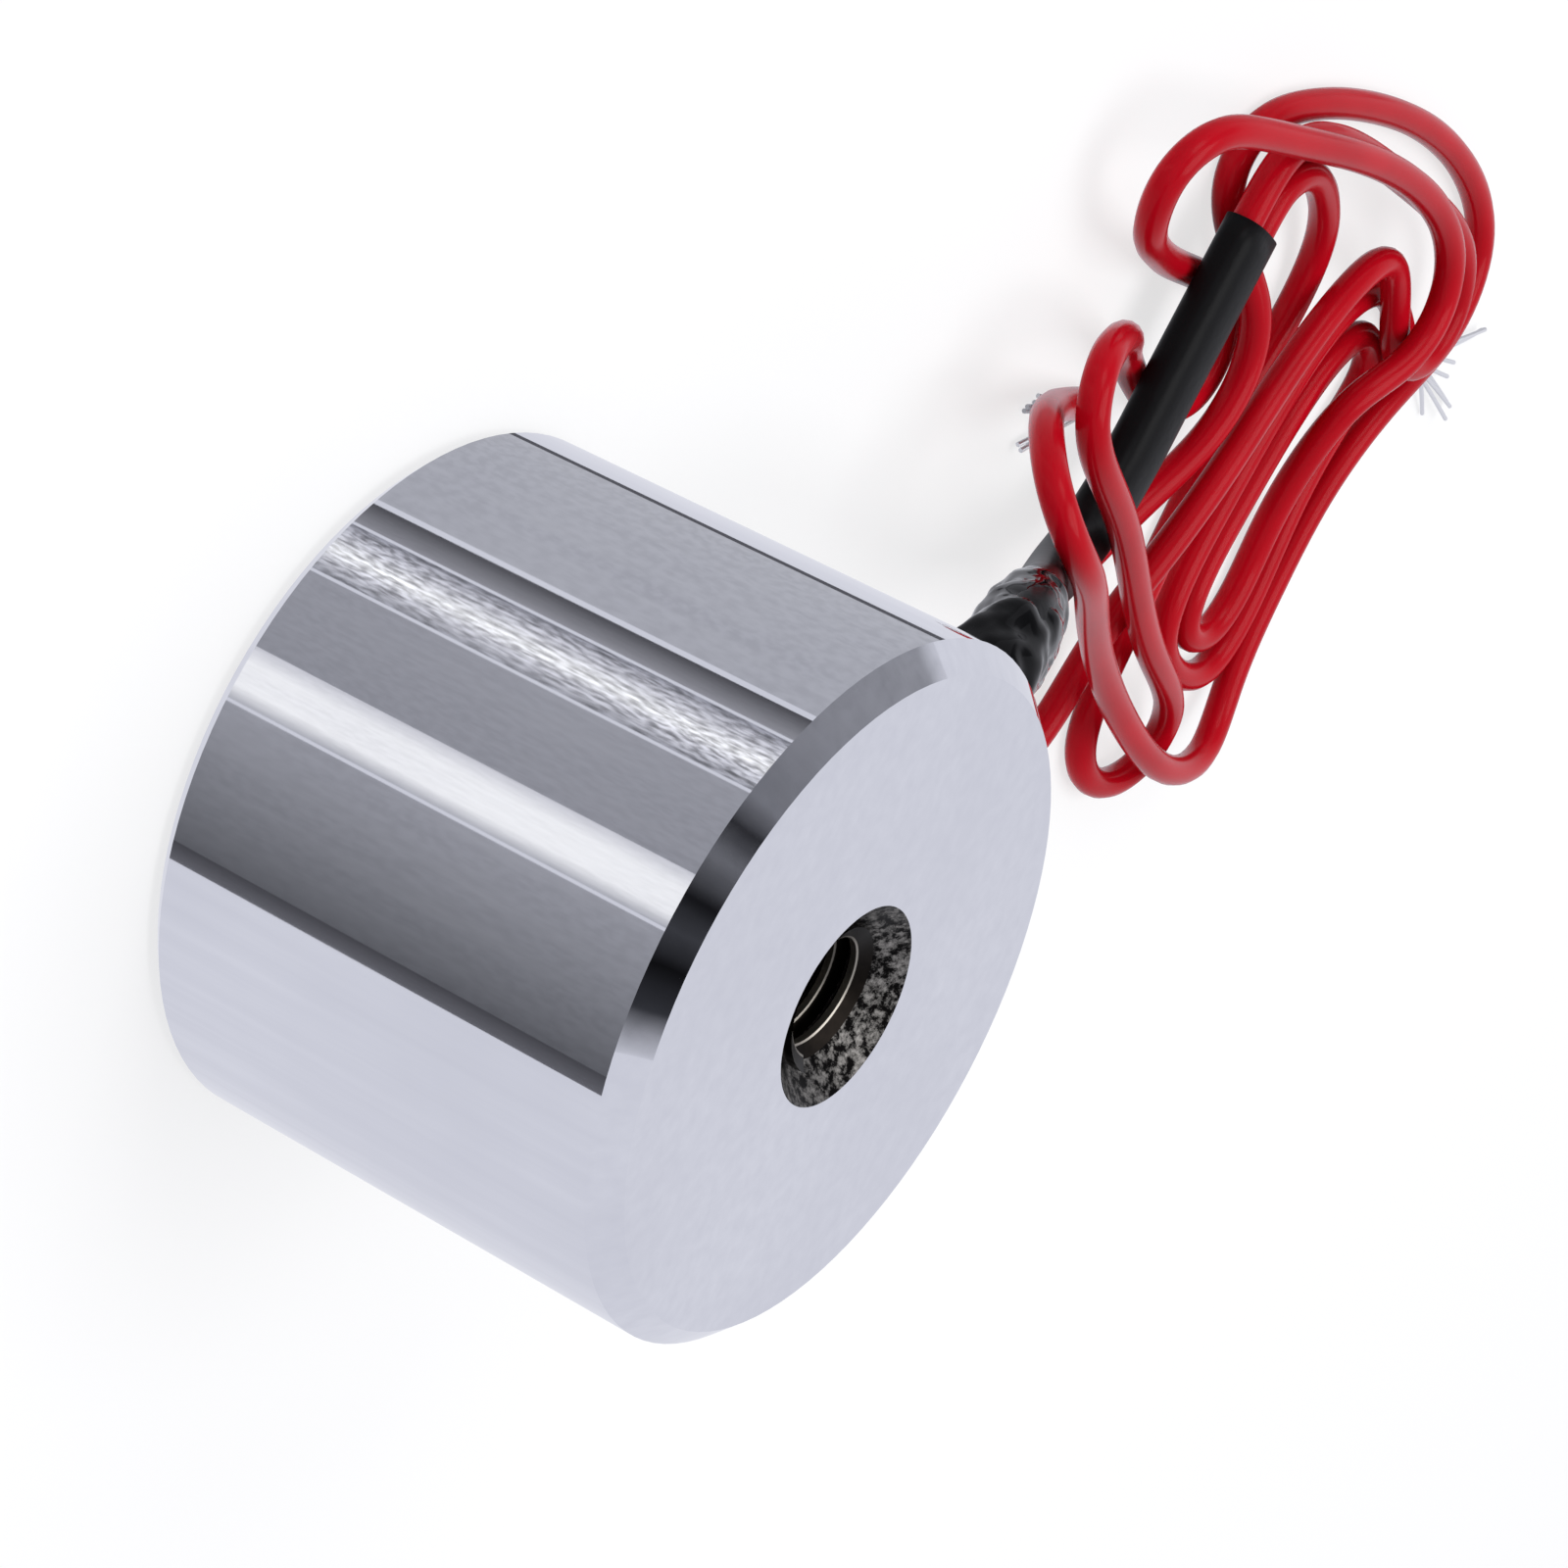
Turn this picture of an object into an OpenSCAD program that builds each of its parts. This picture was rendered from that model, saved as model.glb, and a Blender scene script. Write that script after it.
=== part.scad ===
// Holding electromagnet: a turned steel pot with a potted coil and two leads
// The holding face lies on z = 0, and the axis of the pot is +Z.

/* [Pot] */
// Outside diameter of the pot
body_d = 20; // [19:0.5:24]
// Height of the pot, from the holding face to the threaded end
body_h = 15; // [14:0.5:20]
// Thickness of the round outer wall
wall_t = 1.8; // [1.4:0.1:2]
// Thickness of the closed, threaded end
back_t = 2.4; // [1.8:0.1:3]
// Broken edge round the holding face
holding_edge = 0.4; // [0.2:0.1:0.8]
// Chamfer round the threaded end
back_chamfer = 0.7; // [0.3:0.1:1]

/* [Mounting thread] */
// Nominal diameter of the mounting thread
thread_d = 4; // [3:0.5:5]
// Length of the threaded wall
thread_l = 5.2; // [4:0.1:7]
// Mouth diameter of the rough countersink
countersink_d = 5.7; // [5.4:0.1:6.4]
// Point angle of the tapping drill
drill_angle = 118; // [90:1:140]

/* [Coil] */
// Depth of the resin ring that closes the groove
potting_t = 1.2; // [0.8:0.1:2]
// Wall of the bobbin's tube
bobbin_t = 0.5; // [0.4:0.05:0.6]
// Thickness of a bobbin flange
flange_t = 0.6; // [0.4:0.1:0.9]
// Radial build of the copper winding
winding_t = 2.2; // [1.5:0.1:2.6]
// Gap between the taped winding and the outer wall
winding_gap = 0.75; // [0.3:0.05:1]
// Thickness of the tape round the winding
tape_t = 0.2; // [0.1:0.05:0.3]
// Room for the splices between the bobbin and the closed end
splice_room = 2.4; // [2.2:0.1:3]
// Gap between pieces that are slipped together
fit_gap = 0.05; // [0.02:0.01:0.08]

/* [Leads] */
// Outside diameter of one insulated lead
lead_d = 1.1; // [0.9:0.05:1.3]
// Wall of the heat-shrink sleeve
sleeve_t = 0.2; // [0.15:0.05:0.3]
// Direction in which the leads leave the pot, in degrees from +X
exit_angle = 145; // [140:1:150]
// Room round the sleeve in the lead hole
hole_room = 0.15; // [0.1:0.05:0.25]
// Reach of the sealant up the sleeve
sealant_reach = 2.2; // [1.5:0.1:2.4]
// Thickness of the sealant where it thins out on the sleeve and the wall
sealant_t = 0.12; // [0.08:0.02:0.2]
// Width of the sealant's fillet on the wall
sealant_foot = 0.75; // [0.4:0.05:1]
// Length of an insulating tube over a splice
splice_l = 3; // [2:0.1:3.2]
// Diameter of the coil's own wire where it meets a splice
tail_d = 0.24; // [0.16:0.02:0.3]
// Diameter of a stripped and tinned lead end
bare_d = 0.6; // [0.4:0.05:0.7]
// Length of a stripped lead end
bare_l = 3.5; // [2:0.5:5]

/* [Hidden] */
$fn = 96;
body_r = body_d / 2;
groove_r = body_r - wall_t;
roof_z = body_h - back_t;

thread_r = thread_d / 2;
countersink_h = countersink_d / 2 - thread_r;
drill_point_h = thread_r / tan(drill_angle / 2);

// The coil is set in from the outer wall, and the centre pole fills the bore of its bobbin
winding_out_r = groove_r - winding_gap - tape_t;
winding_in_r = winding_out_r - winding_t;
bobbin_bore_r = winding_in_r - bobbin_t;
pole_r = bobbin_bore_r - fit_gap;
flange_r = groove_r - fit_gap;
bobbin_top = roof_z - splice_room;
winding_low = potting_t + flange_t;
winding_top = bobbin_top - flange_t;

// A slack of this much keeps the leads and the sleeve from cutting into one another
slack = 0.02;
lead_r = lead_d / 2;
lead_offset = lead_r + slack;
sleeve_bore_w = 2 * (lead_d + 2 * slack);
sleeve_bore_h = lead_d + 2 * slack;
sleeve_w = sleeve_bore_w + 2 * sleeve_t;
sleeve_h = sleeve_bore_h + 2 * sleeve_t;
hole_r = sleeve_w / 2 + hole_room;
exit_z = roof_z - hole_r - slack;

// Splices lie on the middle line of the groove, to either side of the lead hole,
// and each solder joint stands out of its tube by a stub that the coil's wire reaches
splice_line_r = (pole_r + groove_r) / 2;
splice_angle = 75;
splice_lead_in = 0.6;
groove_step_angle = 9;
groove_end_angle = 24;
turn_out_angles = [35, 65];
splice_wall = 0.24;
splice_r = lead_r + splice_wall / 2;
joint_r = lead_r - splice_wall / 2;
joint_stub = 0.6;
tail_reach = splice_l + joint_stub / 2;
tail_turn = atan(tail_reach / splice_line_r);
tail_line_r = norm([tail_reach, splice_line_r]);
notch_w = 1;
notch_floor_r = tail_line_r - notch_w / 2;

// The hank of folded leads: a wide bottom layer that the sleeve lies on, and a smaller layer above
hank_loose = 0.1;
hank_low_h = lead_d + hank_loose;
hank_h = 3;
hank_left = -37.5;
hank_right = -10;
hank_near = 28;
hank_far = 51.5;
hank_round = 6;
upper_inset = 1;
upper_near = 31.5;
loop_near = 23.8;
loop_edge = -29.5;
loop_round = 3;
sleeve_lay_y = 29;
sleeve_lay_z = hank_low_h + sleeve_h / 2 + fit_gap;

// Middle line of the sleeve: straight out of the wall, down to the hank and along it
sleeve_tail = 0.5;
sleeve_straight = 2.6;
sleeve_in_r = groove_r - sleeve_tail;
sleeve_out_r = body_r + sleeve_straight;
sleeve_route = concat(
    [for (r = [sleeve_in_r, body_r, sleeve_out_r])
        [r * cos(exit_angle), r * sin(exit_angle), exit_z]],
    [[-11.5, 8.6, 10.7], [-12.2, 11.4, 9.3], [-12.8, 15, 7.6], [-13.4, 18.7, 5.9], [-14.1, 22.3, 4.3],
     [-15, 25.2, 3.1], [-16.2, 27.2, 2.5], [-17.8, 28.4, 2.2], [-20, 29, 2.05]],
    [for (x = [-22, -24, -26, -28.5]) [x, sleeve_lay_y, sleeve_lay_z]]
);
lead_end = [loop_edge, sleeve_lay_y, sleeve_lay_z];

bare_a_x = -29;
bare_b_x = -19;

round_sides = 8;
half_sides = 5;

function unit(v) = v / norm(v);

// Direction of travel at one point of a route
function travel(route, i) = unit(route[min(i + 1, len(route) - 1)] - route[max(i - 1, 0)]);

// Level direction to the right of the travel
function right_of(t) = unit(cross(t, [0, 0, 1]));

// A flat outline set square to the route at one of its points
function ring_at(route, i, outline) =
    let (t = travel(route, i), s = right_of(t), u = cross(s, t))
    [for (p = outline) route[i] + s * p[0] + u * p[1]];

// The same route, moved sideways
function beside(route, offset) =
    [for (i = [0 : len(route) - 1]) route[i] + right_of(travel(route, i)) * offset];

// A round rod's outline, with its middle moved sideways by offset
function round_outline(r, offset) =
    [for (k = [0 : round_sides - 1])
        let (a = k * 360 / round_sides)
        [offset + r * cos(a), r * sin(a)]];

// A level bar with round ends, width w over all and height h
function oval_outline(w, h) =
    [for (end = [0, 1], k = [0 : half_sides - 1])
        let (a = end * 180 - 90 + k * 180 / (half_sides - 1), sign = 1 - 2 * end)
        [sign * (w - h) / 2 + h / 2 * cos(a), h / 2 * sin(a)]];

// Triangles between each ring of n points and the next, seen from outside the tube
function wall_faces(rings, n, first, outward) =
    [for (i = [0 : rings - 2], k = [0 : n - 1])
        let (a = first + i * n + k, b = first + i * n + (k + 1) % n)
        each (outward ? [[a, b, b + n], [a, b + n, a + n]] : [[b, a, b + n], [b + n, a, a + n]])];

// A solid rod through rings of points
module rod(rings) {
    n = len(rings[0]);
    last = (len(rings) - 1) * n;
    polyhedron(
        points = [for (ring = rings) each ring],
        faces = concat(
            wall_faces(len(rings), n, 0, true),
            [[for (k = [n - 1 : -1 : 0]) k]],
            [[for (k = [0 : n - 1]) last + k]]
        )
    );
}

// A thin-walled tube along a route
module hollow_tube(route, outer, inner) {
    n = len(outer);
    rings = len(route);
    inside = rings * n;
    last = (rings - 1) * n;
    polyhedron(
        points = concat(
            [for (i = [0 : rings - 1]) each ring_at(route, i, outer)],
            [for (i = [0 : rings - 1]) each ring_at(route, i, inner)]
        ),
        faces = concat(
            wall_faces(rings, n, 0, true),
            wall_faces(rings, n, inside, false),
            [for (k = [0 : n - 1]) let (j = (k + 1) % n)
                each [[j, k, inside + k], [j, inside + k, inside + j]]],
            [for (k = [0 : n - 1]) let (j = (k + 1) % n)
                each [[last + k, last + j, inside + last + j],
                      [last + k, inside + last + j, inside + last + k]]]
        )
    );
}

// A ring turned about the axis of the pot
module turned_ring(r_in, r_out, z_low, z_high) {
    rotate_extrude()
        translate([r_in, z_low])
            square([r_out - r_in, z_high - z_low]);
}

// Its children's +Z axis becomes the axis of the lead hole
module on_exit_axis() {
    translate([0, 0, exit_z])
        rotate([0, 90, exit_angle])
            children();
}

module pot_body() {
    color("gainsboro")
        difference() {
            rotate_extrude()
                polygon([
                    [0, 0], [pole_r, 0], [pole_r, roof_z], [groove_r, roof_z], [groove_r, 0],
                    [body_r - holding_edge, 0], [body_r, holding_edge],
                    [body_r, body_h - back_chamfer], [body_r - back_chamfer, body_h], [0, body_h]
                ]);
            threaded_hole();
            on_exit_axis()
                translate([0, 0, groove_r - wall_t / 2])
                    cylinder(r = hole_r, h = 2 * wall_t);
        }
}

// The blind hole in the threaded end: drill point, tapped wall and countersink
module threaded_hole() {
    wall_top = body_h - countersink_h;
    wall_low = wall_top - thread_l;
    translate([0, 0, wall_low - drill_point_h])
        cylinder(r1 = 0, r2 = thread_r, h = drill_point_h);
    translate([0, 0, wall_low])
        cylinder(r = thread_r, h = thread_l);
    translate([0, 0, wall_top])
        cylinder(r1 = thread_r, r2 = countersink_d / 2, h = countersink_h);
}

module coil_bobbin() {
    color("ivory")
        difference() {
            rotate_extrude()
                polygon([
                    [bobbin_bore_r, potting_t], [flange_r, potting_t], [flange_r, winding_low],
                    [winding_in_r, winding_low], [winding_in_r, winding_top], [flange_r, winding_top],
                    [flange_r, bobbin_top], [bobbin_bore_r, bobbin_top]
                ]);
            for (side = [-1, 1])
                rotate([0, 0, exit_angle + side * (splice_angle + tail_turn)])
                    translate([notch_floor_r, -notch_w / 2, winding_top - slack])
                        cube([flange_r, notch_w, flange_t + 2 * slack]);
        }
}

module coil_winding() {
    color("peru")
        turned_ring(winding_in_r, winding_out_r, winding_low, winding_top);
}

module winding_tape() {
    color("gold")
        turned_ring(winding_out_r, winding_out_r + tape_t, winding_low, winding_top);
}

module potting_ring() {
    color("dimgray")
        turned_ring(pole_r, groove_r, 0, potting_t);
}

// Puts its children at the inner end of a lead, with +Z along the groove, away from the lead hole
module at_splice(side) {
    rotate([0, 0, exit_angle + side * splice_angle])
        translate([splice_line_r, 0, exit_z])
            rotate([-90 * side, 0, 0])
                children();
}

module solder_joint(side) {
    color("silver")
        at_splice(side)
            cylinder(r = joint_r, h = splice_l + joint_stub);
}

module splice_tube(side) {
    color("white")
        at_splice(side)
            difference() {
                cylinder(r = splice_r, h = splice_l);
                translate([0, 0, -slack])
                    cylinder(r = joint_r, h = splice_l + 2 * slack);
            }
}

// The end of the coil's wire, up through the flange's notch to the underside of the solder joint
module coil_tail(side) {
    color("chocolate")
        rotate([0, 0, exit_angle + side * (splice_angle + tail_turn)])
            translate([tail_line_r, 0, winding_top])
                cylinder(d = tail_d, h = exit_z - joint_r - slack - winding_top);
}

// The sealant fills the lead hole round the sleeve and runs out to a fillet on the wall
module exit_sealant() {
    neck_r = sleeve_w / 2 + sealant_t;
    foot_r = neck_r + sealant_foot;
    arc_steps = 8;
    skirt_h = sealant_reach - sealant_t;
    skirt = [for (k = [0 : arc_steps])
        let (a = k * 90 / arc_steps)
        [foot_r - sealant_foot * sin(a), body_r + sealant_t + skirt_h * (1 - cos(a))]];
    profile = concat([[0, groove_r], [foot_r, groove_r]], skirt, [[0, body_r + sealant_reach]]);
    color("black")
        difference() {
            on_exit_axis()
                rotate_extrude()
                    polygon(profile);
            difference() {
                cylinder(r = body_r, h = body_h);
                on_exit_axis()
                    translate([0, 0, pole_r])
                        cylinder(r = hole_r - slack, h = body_r);
            }
            on_exit_axis()
                translate([0, 0, sleeve_in_r])
                    rotate([0, 0, 90])
                        linear_extrude(body_r)
                            polygon(oval_outline(sleeve_w + 2 * slack, sleeve_h + 2 * slack));
        }
}

module heat_shrink_sleeve() {
    outer = oval_outline(sleeve_w, sleeve_h);
    bore = oval_outline(sleeve_bore_w, sleeve_bore_h);
    color("black")
        hollow_tube(sleeve_route, outer, bore);
}

// From its splice a lead starts straight, follows the groove and turns out towards the lead hole
function groove_route(side) =
    let (
        start_turn = atan(splice_lead_in / splice_line_r),
        start_r = norm([splice_lead_in, splice_line_r]),
        turn_r = groove_r - splice_line_r,
        straight = [[splice_line_r, splice_angle], [start_r, splice_angle - start_turn]],
        along = [for (a = [splice_angle - 2 * start_turn : -groove_step_angle : groove_end_angle])
            [splice_line_r, a]],
        out = [for (a = turn_out_angles)
            let (y = lead_offset + turn_r * (1 - sin(a)), x = groove_r - turn_r * cos(a))
            [norm([x, y]), atan2(y, x)]]
    )
    [for (p = concat(straight, along, out))
        let (w = exit_angle + side * p[1])
        [p[0] * cos(w), p[0] * sin(w), exit_z]];

module lead(side) {
    offset = -side * lead_offset;
    inner = groove_route(side);
    outer = concat(sleeve_route, [lead_end]);
    whole = concat(inner, beside(outer, offset));
    color("firebrick")
        rod(concat(
            [for (i = [0 : len(inner) - 1]) ring_at(whole, i, round_outline(lead_r, 0))],
            [for (i = [0 : len(outer) - 1]) ring_at(outer, i, round_outline(lead_r, offset))]
        ));
}

// A rectangle from corner to corner with round corners
module rounded_plate(low, high, r, h) {
    size = high - low;
    linear_extrude(h)
        translate(low) {
            translate([r, 0])
                square([size[0] - 2 * r, size[1]]);
            translate([0, r])
                square([size[0], size[1] - 2 * r]);
            for (x = [r, size[0] - r], y = [r, size[1] - r])
                translate([x, y])
                    circle(r);
        }
}

module lead_hank() {
    upper_left = hank_left + upper_inset;
    upper_right = hank_right - upper_inset;
    upper_far = hank_far - upper_inset;
    color("firebrick") {
        rounded_plate([hank_left, hank_near], [hank_right, hank_far], hank_round, hank_low_h);
        rounded_plate([upper_left, upper_near], [upper_right, upper_far], hank_round, hank_h);
        rounded_plate([upper_left, loop_near], [loop_edge, hank_far - hank_round], loop_round, hank_h);
    }
}

module bare_end(x, y, direction) {
    color("silver")
        translate([x, y, lead_r])
            rotate([-90 * direction, 0, 0])
                cylinder(d = bare_d, h = bare_l);
}

pot_body();
coil_bobbin();
coil_winding();
winding_tape();
potting_ring();
coil_tail(1);  // coil_tail_a
coil_tail(-1);  // coil_tail_b
solder_joint(1);  // solder_joint_a
solder_joint(-1);  // solder_joint_b
splice_tube(1);  // splice_tube_a
splice_tube(-1);  // splice_tube_b
exit_sealant();
heat_shrink_sleeve();
lead(1);  // lead_a
lead(-1);  // lead_b
lead_hank();
bare_end(bare_a_x, hank_far, 1);  // lead_a_bare_end
bare_end(bare_b_x, hank_near, -1);  // lead_b_bare_end
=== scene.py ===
# %% [markdown]
# # A holding electromagnet
#
# The object is a small pot magnet: a plated steel pot, 20 mm across and 15 mm high, that stands on its
# holding face. Two red leads leave its wall through a black heat-shrink sleeve and lie folded in a hank
# behind it. The CAD model is loaded first and never moved. This script gives each of its pieces a finish,
# and models the flexible and the small things that the CAD model only stands in for. Sizes on the object are
# written in millimetres, and MM turns them into Blender's metres. Sizes in the studio round it are in metres.

# %% Load the frame
import math

import bpy
from mathutils import Matrix, Vector


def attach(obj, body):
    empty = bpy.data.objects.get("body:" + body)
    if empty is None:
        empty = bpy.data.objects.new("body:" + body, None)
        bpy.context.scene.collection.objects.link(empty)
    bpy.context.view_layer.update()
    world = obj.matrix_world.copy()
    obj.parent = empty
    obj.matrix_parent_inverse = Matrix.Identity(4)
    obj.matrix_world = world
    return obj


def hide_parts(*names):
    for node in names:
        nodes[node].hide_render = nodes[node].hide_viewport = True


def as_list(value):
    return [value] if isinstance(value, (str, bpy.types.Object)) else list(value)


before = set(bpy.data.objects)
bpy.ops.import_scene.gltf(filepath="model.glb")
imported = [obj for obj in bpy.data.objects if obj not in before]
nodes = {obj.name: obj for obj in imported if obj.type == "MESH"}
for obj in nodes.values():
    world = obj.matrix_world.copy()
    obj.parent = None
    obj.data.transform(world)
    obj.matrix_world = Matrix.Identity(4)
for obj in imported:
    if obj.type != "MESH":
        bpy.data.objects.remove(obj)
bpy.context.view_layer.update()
MM = 0.001
bpy.ops.object.select_all(action="DESELECT")

# %% [markdown]
# ## The camera
#
# The photograph was taken with a long lens from above, and the camera was turned on its side, so that the
# upright axis of the pot runs to the right and a little down in the picture. Its place and its two
# directions were fitted to the outlines of the pot. Three angles would do as well, but a matrix of the
# directions is the plainest way to give a camera that is turned as much as this one.

# %% Camera
EYE = Vector((0, -112.97, 65.16)) * MM
LOOKS_ALONG = Vector((-0.03495, 0.89945, -0.43562))
PICTURE_UP = Vector((-0.88452, -0.23073, -0.40544))
FOCAL_PIXELS = 4905
PICTURE_PIXELS = 1600
SENSOR_MM = 36

camera_data = bpy.data.cameras.new("camera")
camera_data.sensor_width = SENSOR_MM
camera_data.lens = SENSOR_MM * FOCAL_PIXELS / PICTURE_PIXELS
camera_data.clip_start = MM
camera = bpy.data.objects.new("camera", camera_data)
bpy.context.scene.collection.objects.link(camera)
picture_right = LOOKS_ALONG.cross(PICTURE_UP).normalized()
camera_turn = Matrix((picture_right, PICTURE_UP, -LOOKS_ALONG)).transposed()
camera.matrix_world = Matrix.Translation(EYE) @ camera_turn.to_4x4()
bpy.context.scene.camera = camera
print("lens", round(camera_data.lens, 1), "mm")

# %% [markdown]
# ## The routes of the sleeve and the leads
#
# Inside the pot each lead starts at its splice, follows the coil's groove and turns out through the hole
# in the wall. Both leads then run side by side in the sleeve, which droops to the floor behind the pot.
# From the sleeve's end each lead lies in its own folds. The points are in millimetres, chosen so that the
# strands lie on the floor, on each other or over the sleeve, about a diameter apart. A NURBS curve is drawn
# towards such points without reaching each one, so it has no corners, as a soft lead has none.

# %% Route inside the pot and along the sleeve
LEAD_D = 1.1
LEAD_OFFSET = 0.57
EXIT_ANGLE = 145
EXIT_Z = 11.09
WALL_R = 10
GROOVE_R = 8.2
SPLICE_LINE_R = 6.35
SPLICE_ANGLE = 75
GROOVE_END_ANGLE = 24
GROOVE_STEP = 9
TURN_OUT_ANGLES = (35, 65)
SLEEVE_START_RADII = (7.7, WALL_R, 12.6)
UP = Vector((0, 0, 1))


def round_the_axis(r, angle, z=EXIT_Z):
    """The point at a distance from the pot's axis; the angle is in degrees from +X towards +Y."""
    return Vector((r * math.cos(math.radians(angle)), r * math.sin(math.radians(angle)), z))


SLEEVE_ROUTE = [round_the_axis(r, EXIT_ANGLE) for r in SLEEVE_START_RADII]
SLEEVE_ROUTE += [Vector(p) for p in (
    (-11.5, 8.6, 10.7), (-12.2, 11.4, 9.3), (-12.8, 15, 7.6), (-13.4, 18.7, 5.9), (-14.1, 22.3, 4.3),
    (-15, 25.2, 3.1), (-16.2, 27.2, 2.5), (-17.8, 28.4, 2.2), (-20, 29, 2.05),
    (-22, 29, 2.02), (-24, 29, 2.02), (-26, 29, 2.02), (-28.5, 29, 2.02))]


def beside(route, offset):
    """The same route, moved level to the right of its travel."""
    moved = []
    for i, point in enumerate(route):
        travel = route[min(i + 1, len(route) - 1)] - route[max(i - 1, 0)]
        moved.append(point + travel.cross(UP).normalized() * offset)
    return moved


def groove_route(side):
    """From the splice round the groove and out towards the hole; side is 1 or -1."""
    turn_r = GROOVE_R - SPLICE_LINE_R
    points = [round_the_axis(SPLICE_LINE_R, EXIT_ANGLE + side * angle)
              for angle in range(SPLICE_ANGLE, GROOVE_END_ANGLE, -GROOVE_STEP)]
    for angle in TURN_OUT_ANGLES:
        across = LEAD_OFFSET + turn_r * (1 - math.sin(math.radians(angle)))
        out = GROOVE_R - turn_r * math.cos(math.radians(angle))
        turn = math.degrees(math.atan2(across, out))
        points.append(round_the_axis(math.hypot(out, across), EXIT_ANGLE + side * turn))
    return points


print(len(SLEEVE_ROUTE), "points along the sleeve,", len(groove_route(1)), "in the groove for each lead")

# %% Routes of the folds
LEAD_A_FOLDS = [
    # Out of the sleeve, round the top of the hank and down across it
    (-30.8, 28.4, 2.0), (-32.3, 29.9, 1.9), (-33.2, 32.8, 1.85), (-33.8, 36.2, 1.75), (-34.2, 39.8, 1.7),
    (-34.6, 43.4, 1.7), (-34.6, 47.2, 1.7), (-32.6, 49.6, 1.7), (-29.8, 48.8, 1.7), (-29.5, 45.8, 1.7),
    (-31.4, 43.2, 1.75), (-32, 40.4, 2.0), (-29.8, 38, 2.2), (-25.8, 36.5, 2.2), (-22, 35.9, 2.2),
    (-18.2, 35.2, 1.9), (-14.8, 35.2, 1.1), (-11.2, 36.5, 0.55), (-8.2, 34.2, 0.55), (-9.2, 29.8, 0.55),
    # Back up beside the sleeve and under its end
    (-13.2, 30.2, 0.55), (-16, 32.2, 0.55), (-19.5, 34.2, 0.7), (-22.4, 34.8, 1.65), (-25.2, 34.7, 1.85),
    (-27.2, 33, 1.75), (-28.2, 30.6, 0.8), (-29.5, 28.5, 0.55), (-31.7, 28.6, 0.55),
    # The farther ring and the lowest turn
    (-33.5, 31.3, 0.55), (-35.2, 35.4, 0.55), (-36.8, 41.2, 0.55), (-37.2, 46.8, 0.55), (-36.2, 51.4, 0.6),
    (-32.4, 52, 1.0), (-28.8, 48.8, 1.1), (-24.6, 47.8, 0.75), (-20.6, 48.4, 0.6), (-17, 48.3, 0.8),
    (-13.7, 48.4, 1.6), (-12.1, 43.2, 2.3),
    # Over the sleeve to the end
    (-13.1, 36.2, 2.5), (-14, 30.5, 3.4), (-14.7, 25.1, 4.9), (-15, 21.2, 6.2), (-15.3, 18, 6.6),
    (-16.6, 16.6, 5.6), (-18.3, 18.2, 3.8), (-19.3, 21.4, 2.1), (-20.1, 24.6, 0.9), (-20.8, 27.2, 0.55)]
LEAD_B_FOLDS = [
    # Out of the sleeve, back down the hank and round its lower end
    (-30.4, 29.6, 2.0), (-31.6, 31.4, 1.9), (-31.6, 34.2, 1.5), (-30.8, 37, 1.0), (-28.6, 38.3, 0.6),
    (-25.8, 38.1, 0.55), (-22.6, 37.9, 0.55), (-19, 38.1, 0.55), (-16, 38.6, 0.55), (-13.2, 38.8, 0.55),
    (-11.2, 39.9, 0.55), (-10.7, 42.8, 0.55), (-12.3, 45.1, 0.7),
    # Over the sleeve and back under it
    (-14.5, 44.5, 1.15), (-15.1, 41.2, 1.75), (-15.4, 37.4, 2.25), (-16.2, 33.4, 2.8), (-17, 29.6, 3.5),
    (-17.8, 25.4, 4.2), (-18.2, 21.8, 4.6), (-18.9, 19.1, 4.7), (-21, 18.7, 4.2), (-22.4, 21.6, 3.1),
    (-22.9, 24.8, 1.9), (-22.8, 27.4, 0.7), (-22.4, 30.2, 0.55), (-22.2, 32.6, 0.55), (-23.6, 34.8, 0.55),
    (-26, 34.6, 0.55), (-27, 32.2, 0.55), (-26.6, 29.8, 0.55),
    # The nearer ring
    (-26.1, 27.4, 0.75), (-25.8, 24.8, 1.3), (-25.6, 21.8, 2.1), (-27.2, 19.6, 2.8), (-29.3, 20.7, 3.15),
    (-30.3, 23.5, 3.2), (-31.3, 27, 3.2), (-32.5, 31, 3.15), (-33.5, 35.4, 3.0), (-34, 39.8, 2.9),
    (-33.5, 43.4, 2.9), (-31.6, 45.2, 2.9), (-29.2, 44.6, 2.85), (-27.4, 43.2, 2.2),
    # Down and up inside the hank
    (-24.8, 43.9, 1.3), (-22.2, 45, 0.7), (-19.6, 46, 0.55), (-17.3, 45.4, 0.55), (-17, 42.8, 0.55),
    (-19.2, 42, 0.55), (-21.8, 42.2, 0.55), (-24, 42.4, 0.55), (-26.4, 42.8, 0.55), (-28.6, 43.6, 0.55),
    (-30.2, 45.3, 0.55), (-29.2, 47.5, 0.55),
    # Down and up once more round that fold, to the end
    (-26.2, 46.6, 0.55), (-23.4, 46.5, 0.55), (-21, 47, 0.55), (-18.6, 47.4, 0.55), (-16.2, 46.8, 0.55),
    (-15.7, 43.8, 0.55), (-16.4, 41.4, 0.55), (-18.6, 40.6, 0.55), (-21.2, 40.7, 0.55), (-24, 40.9, 0.55),
    (-26.8, 41.3, 0.55), (-29.2, 42, 0.55), (-31, 43.6, 0.55), (-31.7, 45.6, 0.55), (-31.3, 47.6, 0.55),
    (-30.8, 49, 0.55)]
LEAD_ROUTES = {
    "a": groove_route(1) + beside(SLEEVE_ROUTE, -LEAD_OFFSET) + [Vector(p) for p in LEAD_A_FOLDS],
    "b": groove_route(-1) + beside(SLEEVE_ROUTE, LEAD_OFFSET) + [Vector(p) for p in LEAD_B_FOLDS],
}
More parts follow.
